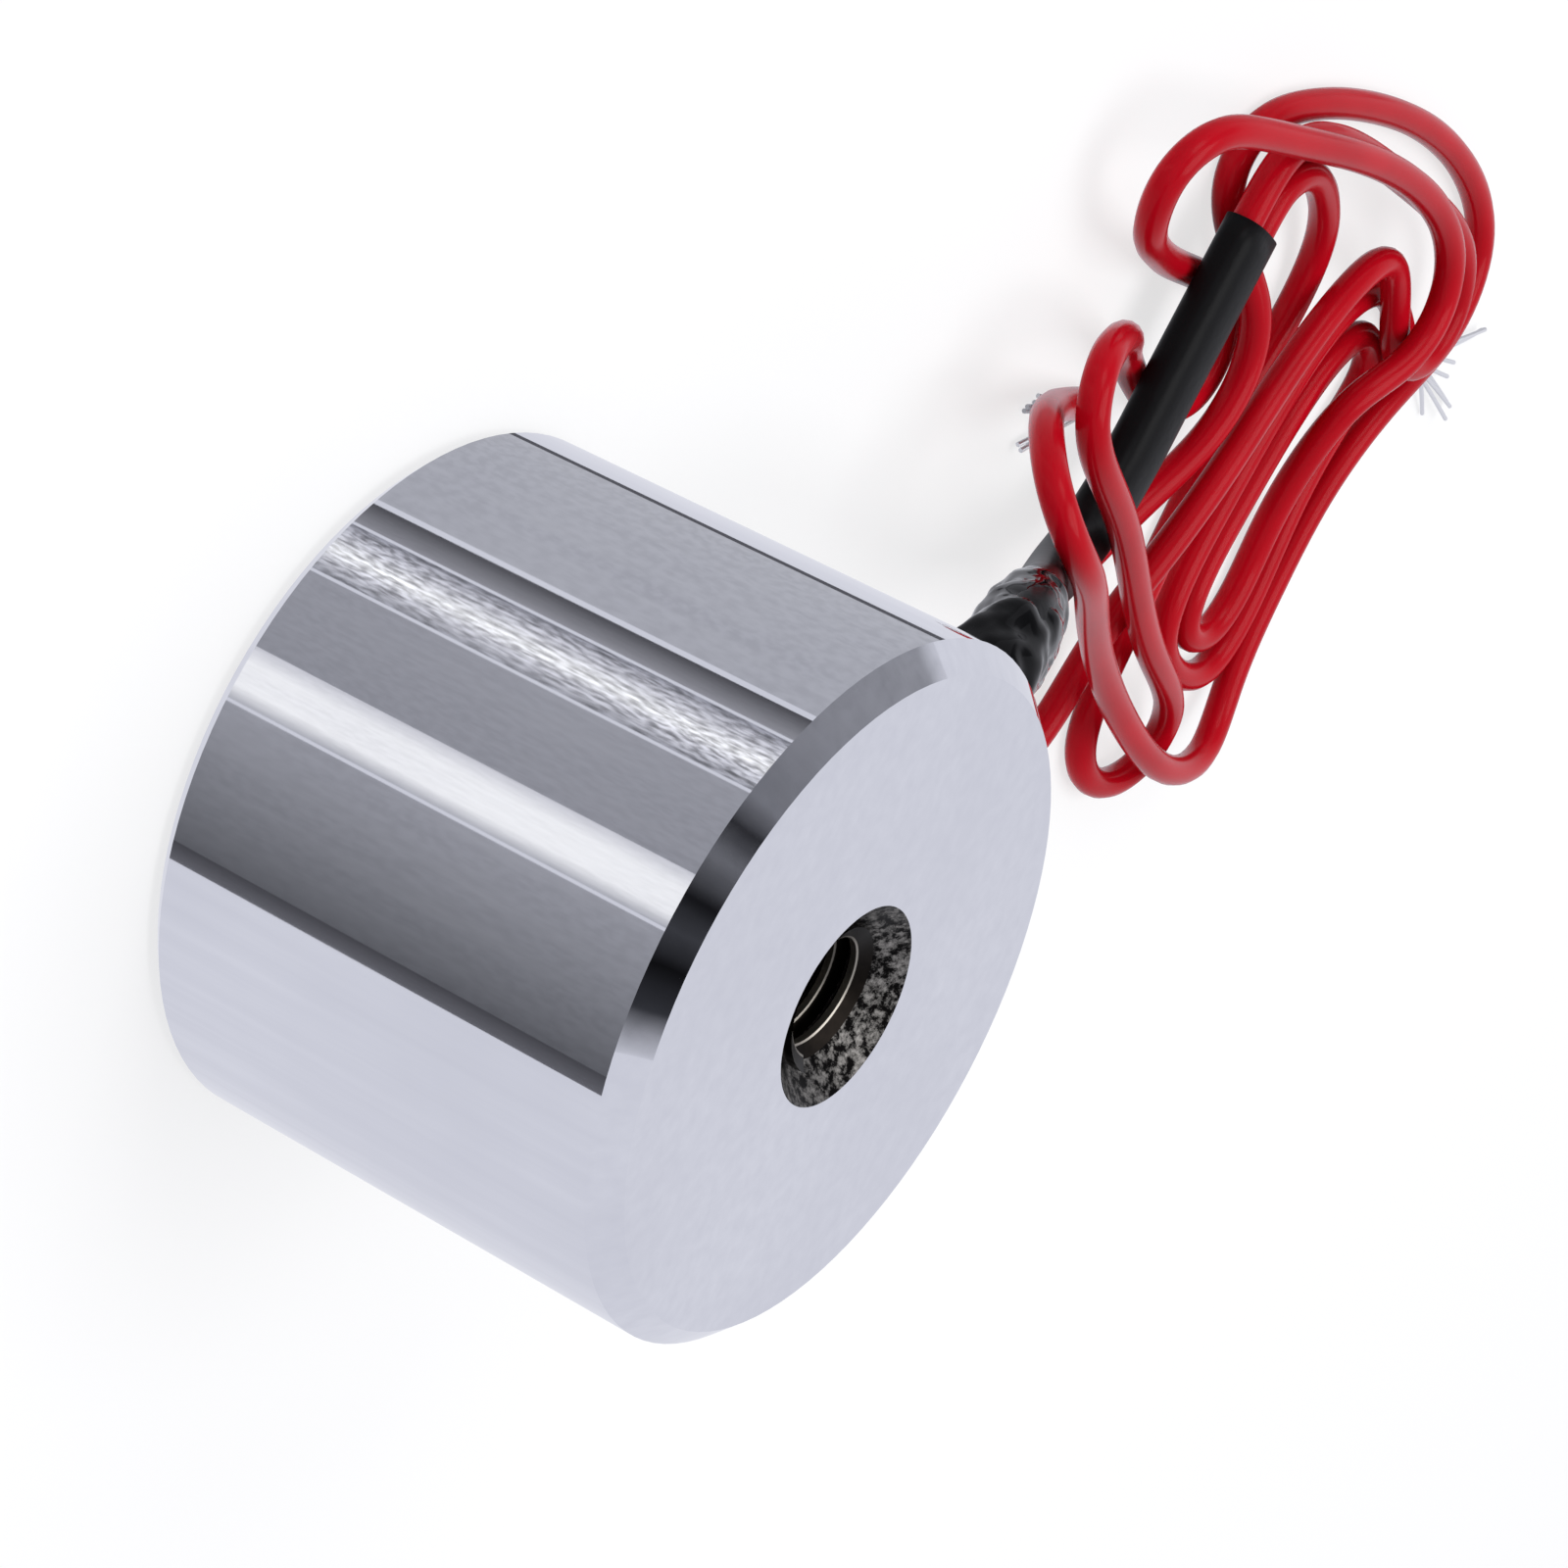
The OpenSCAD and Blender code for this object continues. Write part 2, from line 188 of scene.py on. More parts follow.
print({name: len(route) for name, route in LEAD_ROUTES.items()}, "points in each lead")

# %% [markdown]
# ## The two leads
#
# Each lead is a stranded copper wire in smooth red insulation, 1.1 mm thick. A tube of mesh could be drawn
# along each route. A curve with a round bevel is chosen instead: it is a wire of one thickness along its
# whole route, and its length can be measured simply.

# %% Leads
CURVE_STEPS = 8
ROUND_STEPS = 5
SOFT_ORDER = 4


def soft_curve(name, points, radius):
    """One open NURBS curve in metres. Its bevel is one metre, and the points' radius scales that down."""
    data = bpy.data.curves.new(name, "CURVE")
    data.dimensions = "3D"
    data.resolution_u = CURVE_STEPS
    data.bevel_depth = 1
    data.bevel_resolution = ROUND_STEPS
    data.use_fill_caps = True
    spline = data.splines.new("NURBS")
    spline.points.add(len(points) - 1)
    for place, point in zip(spline.points, points):
        place.co = (*(Vector(point) * MM), 1)
        place.radius = radius
    spline.order_u = SOFT_ORDER
    spline.use_endpoint_u = True
    made = bpy.data.objects.new(name, data)
    bpy.context.scene.collection.objects.link(made)
    return made


def centre_line_mm(curve_object):
    """Length of a curve's middle line, from a copy without its thickness."""
    bare = curve_object.data.copy()
    bare.bevel_depth = 0
    probe = bpy.data.objects.new("probe", bare)
    line = probe.to_mesh()
    places = [v.co.copy() for v in line.vertices]
    probe.to_mesh_clear()
    bpy.data.objects.remove(probe)
    bpy.data.curves.remove(bare)
    return sum((b - a).length for a, b in zip(places, places[1:])) / MM


leads = {}
lead_lengths = {}
for letter, route in LEAD_ROUTES.items():
    leads[letter] = soft_curve("red_lead_" + letter, route, LEAD_D / 2 * MM)
    lead_lengths[letter] = centre_line_mm(leads[letter])
    print("lead", letter, round(lead_lengths[letter], 1), "mm from its splice to its end")

# %% [markdown]
# ## Hand tools for modelling
#
# The other pieces are modelled as by hand, with operators on what is selected. An operator takes everything
# that is selected, the CAD model too, so one helper selects a single object. The others apply a modifier,
# and finish a piece: its doubles are merged, its open ends closed and its shading smoothed.

# %% Helpers for modelling
WELD_MM = 0.002


def select_only(piece):
    """Leaves this object as the only one that an operator acts on."""
    bpy.ops.object.select_all(action="DESELECT")
    piece.select_set(True)
    bpy.context.view_layer.objects.active = piece


def finish_modifier(piece, kind, **settings):
    """Adds one modifier with its settings and applies it."""
    select_only(piece)
    modifier = piece.modifiers.new(kind.lower(), kind)
    for name, value in settings.items():
        setattr(modifier, name, value)
    bpy.ops.object.modifier_apply(modifier=modifier.name)


def settle(piece, smooth_angle=40, closed=True):
    """Puts the piece's place into its mesh, closes it, turns its faces outwards and smooths its shading."""
    select_only(piece)
    bpy.ops.object.transform_apply(location=True, rotation=True, scale=True)
    bpy.ops.object.mode_set(mode="EDIT")
    bpy.ops.mesh.select_all(action="SELECT")
    bpy.ops.mesh.remove_doubles(threshold=WELD_MM * MM)
    if closed:
        # With sides=0, holes of any size are filled.
        bpy.ops.mesh.fill_holes(sides=0)
        bpy.ops.mesh.select_all(action="SELECT")
    bpy.ops.mesh.normals_make_consistent(inside=False)
    bpy.ops.object.mode_set(mode="OBJECT")
    bpy.ops.object.shade_smooth_by_angle(angle=math.radians(smooth_angle))
    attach(piece, "root")
    print(piece.name, len(piece.data.polygons), "faces")


# %% [markdown]
# ## The sleeve
#
# Heat-shrink tube over two leads is an oval, fuller than an ellipse because of the two leads side by side.
# Rings could be extruded along its route one by one. Sweeping the outline along a curve keeps it upright
# all the way and is simpler. The swept shell is then given the tube's wall, so that its end shows a rim
# with the leads inside.

# %% Outline of the sleeve
SLEEVE_W = 2.68
SLEEVE_H = 1.54
OVAL_SIDES = 36
OVAL_FULLNESS = 2.6

outline_points = []
for step in range(OVAL_SIDES):
    turn = 2 * math.pi * step / OVAL_SIDES
    x, y = math.cos(turn), math.sin(turn)
    outline_points.append((math.copysign(abs(x) ** (2 / OVAL_FULLNESS), x) * SLEEVE_W / 2,
                           math.copysign(abs(y) ** (2 / OVAL_FULLNESS), y) * SLEEVE_H / 2))
outline_data = bpy.data.curves.new("sleeve_outline", "CURVE")
outline_spline = outline_data.splines.new("POLY")
outline_spline.points.add(len(outline_points) - 1)
for place, point in zip(outline_spline.points, outline_points):
    place.co = (point[0] * MM, point[1] * MM, 0, 1)
outline_spline.use_cyclic_u = True
outline = bpy.data.objects.new("sleeve_outline", outline_data)
bpy.context.scene.collection.objects.link(outline)
print("outline of", len(outline_points), "points,", SLEEVE_W, "by", SLEEVE_H, "mm")

# %% Sleeve
SLEEVE_WALL = 0.2

# The outline has its real size already, so the points' radius is 1.
sleeve = soft_curve("heat_shrink_tube", SLEEVE_ROUTE, 1)
sleeve.data.twist_mode = "Z_UP"
sleeve.data.bevel_mode = "OBJECT"
sleeve.data.bevel_object = outline
sleeve.data.use_fill_caps = False
select_only(sleeve)
bpy.ops.object.convert(target="MESH")
sleeve = bpy.context.view_layer.objects.active
bpy.data.objects.remove(outline)
settle(sleeve, smooth_angle=60, closed=False)
finish_modifier(sleeve, "SOLIDIFY", thickness=SLEEVE_WALL * MM, offset=-1)
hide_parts("heat_shrink_sleeve")

# %% [markdown]
# ## The sealant at the wall
#
# Where the sleeve leaves the pot, a collar of black adhesive is wiped round it. It shrank as it set, so it
# is glossy and wrinkled. It could be sculpted. A ring on the wall, extruded, drawn in and turned a few times
# as the sleeve bends away, makes the collar more simply, and a cloud texture pushes its surface in and out
# for the wrinkles.

# %% Sealant collar, from ring to ring
COLLAR_RINGS = (
    # Heading in degrees, middle in millimetres, half of the width in millimetres
    (145, (-7.78, 5.45, 11.09), 2.2), (145, (-8.11, 5.68, 11.09), 2.18), (145, (-8.52, 5.97, 11.09), 1.95),
    (143, (-9.1, 6.4, 11.08), 1.8), (136, (-9.95, 7.15, 11), 1.68), (124, (-10.9, 8.2, 10.7), 1.6),
    (113, (-11.6, 9.6, 10.1), 1.55), (105, (-12, 11.1, 9.4), 1.51), (101, (-12.35, 12.6, 8.7), 1.47),
    (100, (-12.55, 13.5, 8.3), 1.3), (100, (-12.65, 13.9, 8.1), 1.02))
COLLAR_SIDES = 64
COLLAR_FLAT = 0.82

exit_axis = round_the_axis(1, EXIT_ANGLE, 0)
heading, middle, half_width = COLLAR_RINGS[0]
bpy.ops.object.select_all(action="DESELECT")
bpy.ops.mesh.primitive_circle_add(
    vertices=COLLAR_SIDES, radius=half_width * MM, location=Vector(middle) * MM,
    rotation=exit_axis.to_track_quat("Z", "Y").to_euler())
collar = bpy.context.active_object
collar.name = "sealant_collar"
bpy.ops.object.mode_set(mode="EDIT")
bpy.ops.transform.resize(value=(1, 1, COLLAR_FLAT), center_override=Vector(middle) * MM)
for next_heading, next_middle, next_half in COLLAR_RINGS[1:]:
    step = (Vector(next_middle) - Vector(middle)) * MM
    bpy.ops.mesh.extrude_region_move(TRANSFORM_OT_translate={"value": step})
    share = next_half / half_width
    bpy.ops.transform.resize(value=(share, share, share), center_override=Vector(next_middle) * MM)
    # With no window, rotate turns the other way, so the turn is the old heading less the new one.
    bpy.ops.transform.rotate(value=math.radians(heading - next_heading), orient_axis="Z",
                             center_override=Vector(next_middle) * MM)
    heading, middle, half_width = next_heading, next_middle, next_half
bpy.ops.object.mode_set(mode="OBJECT")
last_ring = [collar.matrix_world @ v.co for v in collar.data.vertices[-COLLAR_SIDES:]]
ring_middle = sum(last_ring, Vector()) / COLLAR_SIDES
ring_normal = (last_ring[0] - ring_middle).cross(last_ring[COLLAR_SIDES // 4] - ring_middle)
last_heading = math.degrees(math.atan2(ring_normal.y, ring_normal.x))
print("the collar's last ring heads", round(last_heading), "degrees")

# %% Sealant collar, rounded and wrinkled
COLLAR_ROUNDING = 3
WRINKLE_MM = 1.1
WRINKLE_DEPTH = 0.4

settle(collar, smooth_angle=80)
finish_modifier(collar, "SUBSURF", levels=COLLAR_ROUNDING, render_levels=COLLAR_ROUNDING)
wrinkles = bpy.data.textures.new("wrinkles", "CLOUDS")
wrinkles.noise_scale = WRINKLE_MM * MM
wrinkles.noise_depth = 1
# A mid level of a half pushes the surface in as far as out.
finish_modifier(collar, "DISPLACE", texture=wrinkles, texture_coords="LOCAL",
                strength=WRINKLE_DEPTH * MM, mid_level=0.5)
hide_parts("exit_sealant")
print(collar.name, "rounded to", len(collar.data.polygons), "faces")

# %% [markdown]
# ## The stripped ends
#
# Both leads end in bare tinned strands that have splayed. Each strand is a thin bent wire. A hair system
# could spread them, but the place of each tip would be hard to choose. A curve with one spline for each
# strand, turned into a mesh, gives all of an end's strands as one piece.

# %% Frayed strands
STRAND_D = 0.17
STRAND_COUNT = 9
STRAND_ROUND_STEPS = 2
STRAND_CURVE_STEPS = 6
STRAND_ORDER = 3
# In millimetres: the ring of strands, how far each starts inside the lead, leaves it, bends, and its heights
STRAND_RING_R = 0.2
INSIDE_LEAD = 0.5
STRAIGHT_OUT = 0.4
BEND_OUT = 0.5
BEND_LOWEST = 0.12
TIP_LOWEST = 0.1
TIP_RISE = 0.35
# As shares: where the bend lies ahead, aside and in height, and how far a strand reaches
BEND_AHEAD = 0.45
BEND_ASIDE = 0.25
BEND_HEIGHT = 0.7
REACH_MIDDLE = 0.85
REACH_SWING = 0.15


def frayed_end(name, route, heading, length, spread):
    """Strands from the end of a lead's route, turning to a level heading; spread is how far the tips part."""
    start = Vector(route[-1])
    leaves = (start - Vector(route[-2])).normalized()
    ahead = Vector(heading).normalized()
    aside = ahead.cross(UP)
    data = bpy.data.curves.new(name, "CURVE")
    data.dimensions = "3D"
    data.bevel_depth = STRAND_D / 2 * MM
    data.bevel_resolution = STRAND_ROUND_STEPS
    data.resolution_u = STRAND_CURVE_STEPS
    data.use_fill_caps = True
    for k in range(STRAND_COUNT):
        turn = 2 * math.pi * k / STRAND_COUNT
        # Three waves out of step with each other give every strand its own reach, side and height.
        reach = length * (REACH_MIDDLE + REACH_SWING * math.sin(3.1 * k + 1))
        out = spread * math.sin(2.4 * k + 0.6)
        lift = 0.5 + 0.5 * math.sin(1.7 * k)
        root = start + (aside * math.cos(turn) + UP * math.sin(turn)) * STRAND_RING_R
        middle = root + leaves * BEND_OUT + ahead * reach * BEND_AHEAD + aside * out * BEND_ASIDE
        middle.z = max(BEND_LOWEST, root.z * BEND_HEIGHT)
        tip = root + ahead * reach + aside * out
        tip.z = TIP_LOWEST + TIP_RISE * lift
        strand = (root - leaves * INSIDE_LEAD, root + leaves * STRAIGHT_OUT, middle, tip)
        spline = data.splines.new("NURBS")
        spline.points.add(len(strand) - 1)
        for place, point in zip(spline.points, strand):
            place.co = (*(point * MM), 1)
        spline.order_u = STRAND_ORDER
        spline.use_endpoint_u = True
    made = bpy.data.objects.new(name, data)
    bpy.context.scene.collection.objects.link(made)
    select_only(made)
    bpy.ops.object.convert(target="MESH")
    made = bpy.context.view_layer.objects.active
    settle(made)
    return made


strands = {
    "a": frayed_end("frayed_strands_a", LEAD_A_FOLDS, heading=(0.55, -0.83, 0), length=3.6, spread=0.9),
    "b": frayed_end("frayed_strands_b", LEAD_B_FOLDS, heading=(-0.18, 1, 0), length=8.0, spread=2.2),
}
# Here lead a ends where the CAD model has lead b's bare end, and the other way round, so each frayed end
# takes over the bare end at its own place.
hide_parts("lead_b_bare_end")
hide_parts("lead_a_bare_end")

# %% [markdown]
# ## The leads
#
# The two leads are limp and can be laid anew. Each leaves the object at the hole in the wall and ends bare,
# and its length counts from its splice inside the pot. Each is fastened to the root, and the pieces on it are
# listed: the sleeve and the sealant hold both leads and are listed with the first.

# %% Leads and the pieces on them
on_the_leads = {"a": [strands["a"], sleeve, collar], "b": [strands["b"]]}
for letter, lead in leads.items():
    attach(lead, "root")
    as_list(on_the_leads[letter])
    print(lead.name, "declared with", [piece.name for piece in on_the_leads[letter]])
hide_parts("lead_a", "lead_hank")
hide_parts("lead_b")

# %% [markdown]
# ## The thread
#
# The CAD model has the hole's wall at the thread's nominal diameter. The ridges of an M4 thread stand in
# from that wall. A spin in edit mode could draw them turn by turn. One ridge in section, turned by a Screw
# modifier with the thread's pitch, gives them all at once.

# %% Thread ridges
THREAD_R = 2.0
THREAD_PITCH = 0.7
THREAD_DEPTH = 0.38
THREAD_TOP = 14.1
THREAD_TURNS = 7
THREAD_STEPS = 48
RIDGE_FLAT = 0.09
INTO_THE_WALL = 0.02

root_r = THREAD_R + INTO_THE_WALL
crest_r = THREAD_R - THREAD_DEPTH
bottom_z = THREAD_TOP - THREAD_PITCH * THREAD_TURNS
ridge = ((root_r, 0.0), (root_r, THREAD_PITCH),
         (crest_r, THREAD_PITCH / 2 + RIDGE_FLAT), (crest_r, THREAD_PITCH / 2 - RIDGE_FLAT))
bpy.ops.object.select_all(action="DESELECT")
bpy.ops.mesh.primitive_plane_add(size=MM)
thread = bpy.context.active_object
thread.name = "thread_ridges"
bpy.ops.object.mode_set(mode="EDIT")
bpy.ops.mesh.delete(type="ONLY_FACE")
bpy.ops.object.mode_set(mode="OBJECT")
# A new plane numbers its corners row by row. This order goes round it.
corner_order = (0, 2, 3, 1)
for vertex, corner in zip(corner_order, ridge):
    thread.data.vertices[vertex].co = (corner[0] * MM, 0, (bottom_z + corner[1]) * MM)
finish_modifier(thread, "SCREW", axis="Z", angle=2 * math.pi, screw_offset=THREAD_PITCH * MM,
                iterations=THREAD_TURNS, steps=THREAD_STEPS, render_steps=THREAD_STEPS)
settle(thread, smooth_angle=30)

# %% [markdown]
# ## Materials
#
# Each finish starts from what the real surface is. Colours are written as they look on a screen, and one
# function turns them into the linear values that the shader needs. One function adds a node. The sockets
# of a Mix node have the same names, so they are given by number: 0 is the share, 6 and 7 are two colours
# and 2 and 3 are two numbers.

# %% Material tools


def linear(hex_colour):
    """A screen colour such as 'c8cad4' as linear red, green, blue and alpha."""
    channels = [int(hex_colour[i:i + 2], 16) / 255 for i in (0, 2, 4)]
    return tuple(c / 12.92 if c <= 0.04045 else ((c + 0.055) / 1.055) ** 2.4 for c in channels) + (1,)


def add_node(tree, kind, inputs=None, **settings):
    """Adds a node, sets its options, and fills or links its inputs."""
    made = tree.nodes.new(kind)
    for name, value in settings.items():
        setattr(made, name, value)
    for socket, value in (inputs or {}).items():
        if isinstance(value, bpy.types.NodeSocket):
            tree.links.new(value, made.inputs[socket])
        else:
            made.inputs[socket].default_value = value
    return made


def new_finish(name, colour, roughness, metallic=0.0, **sockets):
    """A material with one shader whose plain values are set on its own sockets."""
    material = bpy.data.materials.new(name)
    material.use_nodes = True
    shader = shader_of(material)
    shader.inputs["Base Color"].default_value = linear(colour)
    shader.inputs["Roughness"].default_value = roughness
    shader.inputs["Metallic"].default_value = metallic
    for socket, value in sockets.items():
        shader.inputs[socket.replace("_", " ")].default_value = value
    return material


def shader_of(material):
    """The shader that a new material has from the start."""
    return material.node_tree.nodes["Principled BSDF"]


def per_metre(size_mm):
    """The Scale of a texture whose features are this many millimetres across."""
    return 1 / (size_mm * MM)


def dress(material, *pieces):
    """Gives the material to each piece."""
    for piece in pieces:
        piece.data.materials.clear()
        piece.data.materials.append(material)
    print(material.name, "on", ", ".join(piece.name for piece in pieces))


# %% [markdown]
# ## Plated steel
#
# The pot is turned from bar and plated bright, so it mirrors the room. Polishing along the pot left fine
# marks that run lengthwise, so a noise that is stretched along the axis tints and roughens the metal a
# little. The rim of the hole was countersunk after plating and is dull and blotched. It could be a piece of
# its own, but a mask from the distance to the axis finds it on the CAD model's own mesh.

# %% Plated steel: the bright wall
MARK_WIDTH = 0.5
MARK_STRETCH = 0.03
SMUDGE_SIZE = 6
MARK_RANGE = {"From Min": 0.1, "From Max": 0.45}

plated = new_finish("bright plated steel", "dfe0e6", 0.08, 1.0)
tree = plated.node_tree
place = add_node(tree, "ShaderNodeTexCoord").outputs["Object"]
stretched = add_node(tree, "ShaderNodeVectorMath", {0: place, 1: (1, 1, MARK_STRETCH)}, operation="MULTIPLY")
marks = add_node(tree, "ShaderNodeTexNoise", {
    "Vector": stretched.outputs[0], "Scale": per_metre(MARK_WIDTH), "Detail": 4})
smudges = add_node(tree, "ShaderNodeTexNoise", {
    "Vector": place, "Scale": per_metre(SMUDGE_SIZE), "Detail": 3})
both = add_node(tree, "ShaderNodeMath", {0: marks.outputs[0], 1: smudges.outputs[0]}, operation="MULTIPLY")
bright_tint = add_node(tree, "ShaderNodeMapRange", {
    "Value": both.outputs[0], **MARK_RANGE, "To Min": 0.0, "To Max": 1.0})
metal_colour = add_node(tree, "ShaderNodeMix", {
    0: bright_tint.outputs[0], 6: linear("dcdde3"), 7: linear("e6e7ec")}, data_type="RGBA")
metal_rough = add_node(tree, "ShaderNodeMapRange", {
    "Value": both.outputs[0], **MARK_RANGE, "To Min": 0.02, "To Max": 0.05})
dress(plated, nodes["pot_body"])

# %% Plated steel: the dull countersink
COUNTERSINK_R = 2.86
COUNTERSINK_ABOVE = 8
BLOTCH_SIZE = 0.32

across = add_node(tree, "ShaderNodeVectorMath", {0: place, 1: (1, 1, 0)}, operation="MULTIPLY")
from_axis = add_node(tree, "ShaderNodeVectorMath", {0: across.outputs[0]}, operation="LENGTH")
height = add_node(tree, "ShaderNodeSeparateXYZ", {0: place})
in_hole = add_node(tree, "ShaderNodeMath", {
    0: from_axis.outputs["Value"], 1: COUNTERSINK_R * MM}, operation="LESS_THAN")
high_up = add_node(tree, "ShaderNodeMath", {
    0: height.outputs["Z"], 1: COUNTERSINK_ABOVE * MM}, operation="GREATER_THAN")
dull = add_node(tree, "ShaderNodeMath", {0: in_hole.outputs[0], 1: high_up.outputs[0]}, operation="MULTIPLY")
blotches = add_node(tree, "ShaderNodeTexNoise", {
    "Vector": place, "Scale": per_metre(BLOTCH_SIZE), "Detail": 6, "Roughness": 0.75})
blotch_edge = add_node(tree, "ShaderNodeMapRange", {
    "Value": blotches.outputs[0], "From Min": 0.46, "From Max": 0.64})
dull_colour = add_node(tree, "ShaderNodeMix", {
    0: blotch_edge.outputs[0], 6: linear("0c0b0b"), 7: linear("8f8c88")}, data_type="RGBA")
colour = add_node(tree, "ShaderNodeMix", {
    0: dull.outputs[0], 6: metal_colour.outputs[2], 7: dull_colour.outputs[2]}, data_type="RGBA")
rough = add_node(tree, "ShaderNodeMix", {
    0: dull.outputs[0], 2: metal_rough.outputs[0], 3: 0.45}, data_type="FLOAT")
tree.links.new(colour.outputs[2], shader_of(plated).inputs["Base Color"])
tree.links.new(rough.outputs[0], shader_of(plated).inputs["Roughness"])
print(plated.name, "has", len(tree.nodes), "nodes")

# %% [markdown]
# ## Cut steel
#
# The thread was cut after plating, so it is bare steel. Between the ridges little light comes in, so the
# flanks are given a painted shade, near-black and mottled, and the crests a painted highlight in light
# grey. Two materials on chosen faces would do. A second mask from the distance to the axis needs no
# choice of faces.

# %% Cut steel thread
CREST_EDGE_R = 1.67
FLANK_SHADE_MOTTLE_SIZE = 0.3

cut_steel = new_finish("cut steel thread", "3a322b", 0.35, 1.0)
tree = cut_steel.node_tree
place = add_node(tree, "ShaderNodeTexCoord").outputs["Object"]
across = add_node(tree, "ShaderNodeVectorMath", {0: place, 1: (1, 1, 0)}, operation="MULTIPLY")
from_axis = add_node(tree, "ShaderNodeVectorMath", {0: across.outputs[0]}, operation="LENGTH")
# The crests, nearest the axis, are painted light grey as a highlight.
painted_crest_highlight = add_node(tree, "ShaderNodeMath", {
    0: from_axis.outputs["Value"], 1: CREST_EDGE_R * MM}, operation="LESS_THAN")
# The flanks are painted near-black as shade, mottled by a noise.
flank_shade_mottle = add_node(tree, "ShaderNodeTexNoise", {"Vector": place, "Scale": per_metre(FLANK_SHADE_MOTTLE_SIZE), "Detail": 5})
painted_flank_shade = add_node(tree, "ShaderNodeMix", {
    0: flank_shade_mottle.outputs[0], 6: linear("0a0908"), 7: linear("1d1916")}, data_type="RGBA")
colour = add_node(tree, "ShaderNodeMix", {
    0: painted_crest_highlight.outputs[0], 6: painted_flank_shade.outputs[2], 7: linear("8f8a82")}, data_type="RGBA")
tree.links.new(colour.outputs[2], shader_of(cut_steel).inputs["Base Color"])
dress(cut_steel, thread)

# %% [markdown]
# ## Red insulation
#
# The leads' insulation is extruded PVC, a smooth soft plastic: the eye sees a deep red with a narrow, weak
# highlight along each run. Its red is a little uneven, as dyed plastic is, so a soft noise mixes two reds.

# %% Red insulation
RED_PATCH_SIZE = 3

red = new_finish("red PVC insulation", "b00d1b", 0.2, Specular_IOR_Level=0.08)
tree = red.node_tree
place = add_node(tree, "ShaderNodeTexCoord").outputs["Object"]
patches = add_node(tree, "ShaderNodeTexNoise", {
    "Vector": place, "Scale": per_metre(RED_PATCH_SIZE), "Detail": 2})
red_colour = add_node(tree, "ShaderNodeMix", {
    0: patches.outputs[0], 6: linear("a00614"), 7: linear("bb0b1c")}, data_type="RGBA")
tree.links.new(red_colour.outputs[2], shader_of(red).inputs["Base Color"])
dress(red, *leads.values())

# %% [markdown]
# ## Black sleeve, sealant and bare strands
#
# The sleeve is satin black polyolefin, which shows a broad, weak highlight and a faint fine grain. Towards
# the pot a film of the adhesive has run along the tube and wrinkled. The film is too thin to be a piece of
# its own, so a second bump comes in along the sleeve. The adhesive itself is blacker, with small sharp
# highlights on its wrinkles. The strands are tinned, which gives a dull silver.

# %% Black sleeve
SLEEVE_ROUGH = 0.4
FILM_ROUGH = 0.33
FILM_FROM = 15
FILM_TO = 21
GRAIN_SIZE = 0.35
GRAIN_DEPTH = 0.05
FOLD_SIZE = 2.2
FOLD_DEPTH = 0.12

black = new_finish("black polyolefin heat-shrink", "0e0e0f", SLEEVE_ROUGH, Specular_IOR_Level=0.07)
tree = black.node_tree
place = add_node(tree, "ShaderNodeTexCoord").outputs["Object"]
grain = add_node(tree, "ShaderNodeTexNoise", {"Vector": place, "Scale": per_metre(GRAIN_SIZE), "Detail": 3})
bump = add_node(tree, "ShaderNodeBump", {
    "Height": grain.outputs[0], "Strength": 0.25, "Distance": GRAIN_DEPTH * MM})
from_pot = add_node(tree, "ShaderNodeSeparateXYZ", {0: place})
film = add_node(tree, "ShaderNodeMapRange", {
    "Value": from_pot.outputs["Y"], "From Min": FILM_FROM * MM, "From Max": FILM_TO * MM,
    "To Min": 1.0, "To Max": 0.0})
folds = add_node(tree, "ShaderNodeTexNoise", {
    "Vector": place, "Scale": per_metre(FOLD_SIZE), "Detail": 1, "Distortion": 1.5})
film_bump = add_node(tree, "ShaderNodeBump", {
    "Height": folds.outputs[0], "Strength": film.outputs[0], "Distance": FOLD_DEPTH * MM,
    "Normal": bump.outputs[0]})
film_rough = add_node(tree, "ShaderNodeMix", {
    0: film.outputs[0], 2: SLEEVE_ROUGH, 3: FILM_ROUGH}, data_type="FLOAT")
tree.links.new(film_bump.outputs[0], shader_of(black).inputs["Normal"])
tree.links.new(film_rough.outputs[0], shader_of(black).inputs["Roughness"])
dress(black, sleeve)

# %% Sealant and bare strands
glue = new_finish("black hot-melt adhesive", "040405", 0.1, Specular_IOR_Level=0.12)
dress(glue, collar)

tinned = new_finish("tinned copper", "e2e2e4", 0.45, 1.0)
dress(tinned, strands["a"], strands["b"], nodes["solder_joint_a"], nodes["solder_joint_b"])

# %% [markdown]
# ## What is inside
#
# The coil and its small pieces are hidden in the pot, but each has its own finish, so that the part also
# looks right when it is opened. Natural nylon is milky and lets a little light in. Enamelled wire, laid side
# by side, shows close brown lines. Film tape is a clear yellow with a sharp gloss, and the tubing a plain
# white. The resin is ground flush with the pot's face, so its black is duller in patches.

# %% Inner finishes: bobbin, wire, tape and tubing
WIRE_PITCH = 0.2
WIRE_DEPTH = 0.05

nylon = new_finish("natural nylon", "d9d2bd", 0.45, Subsurface_Weight=0.1)
dress(nylon, nodes["coil_bobbin"])

copper = new_finish("enamelled copper wire", "a5552a", 0.25, 0.9)
tree = copper.node_tree
place = add_node(tree, "ShaderNodeTexCoord").outputs["Object"]
